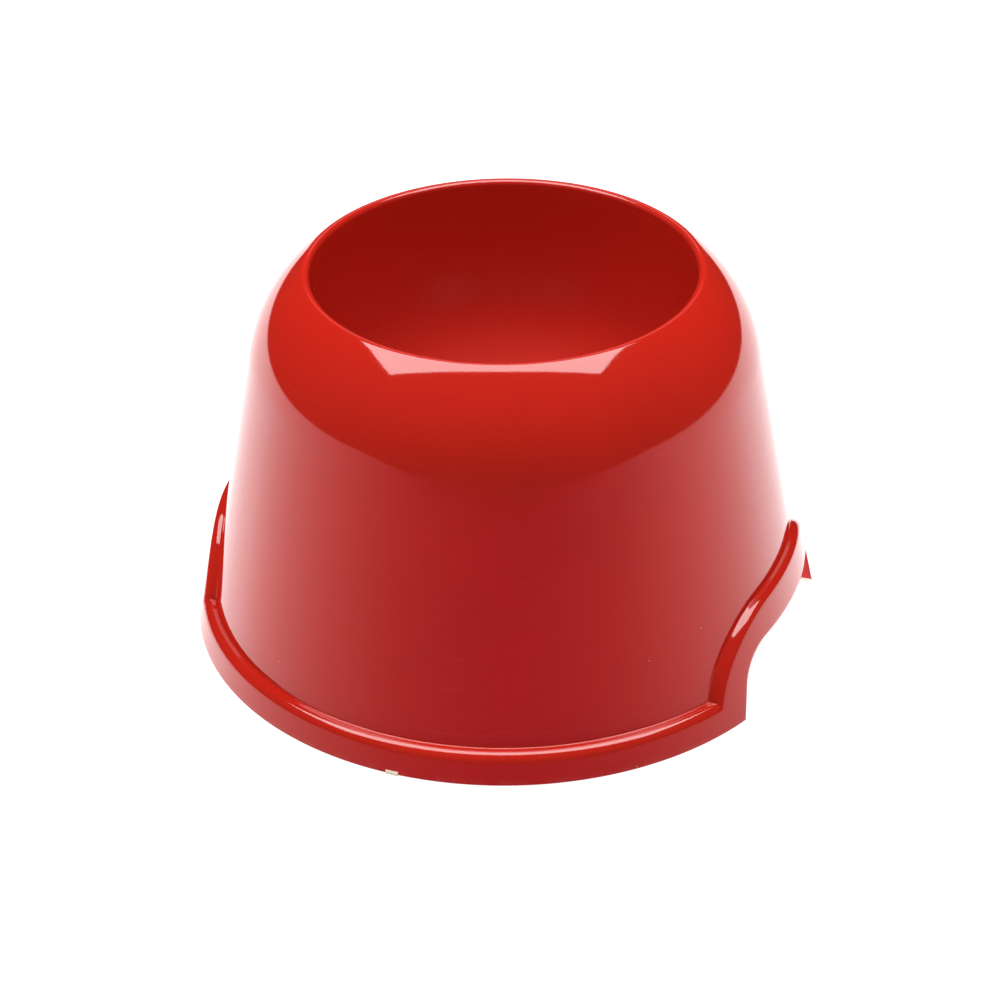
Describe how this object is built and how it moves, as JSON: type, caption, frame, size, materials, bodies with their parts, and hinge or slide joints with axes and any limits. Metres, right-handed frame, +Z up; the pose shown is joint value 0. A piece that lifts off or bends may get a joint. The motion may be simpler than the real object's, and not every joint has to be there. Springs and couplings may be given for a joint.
{
  "type": "dog bowl",
  "caption": "Tall flared bowl for long-eared dogs: narrow rounded mouth, wide hollow skirt with a finger cutout on each side, and small rubber feet under the rim.",
  "frame": {"origin": "on the floor under the centre of the bowl, on the axis of the mouth", "axes": "+Z up along the bowl's axis; -Y to the front, where the single front foot is; +X to the right-hand lift cutout seen from the front"},
  "size_m": [0.2324, 0.2443, 0.1467],
  "materials": {
    "red_plastic": "glossy on the lip and the step, lightly scuffed on the wall",
    "cream_rubber": "matt"
  },
  "bodies": {
    "root": {"bowl_shell": "red_plastic", "front_foot": "cream_rubber", "left_rear_foot": "cream_rubber", "right_rear_foot": "cream_rubber"}
  },
  "joints": []
}
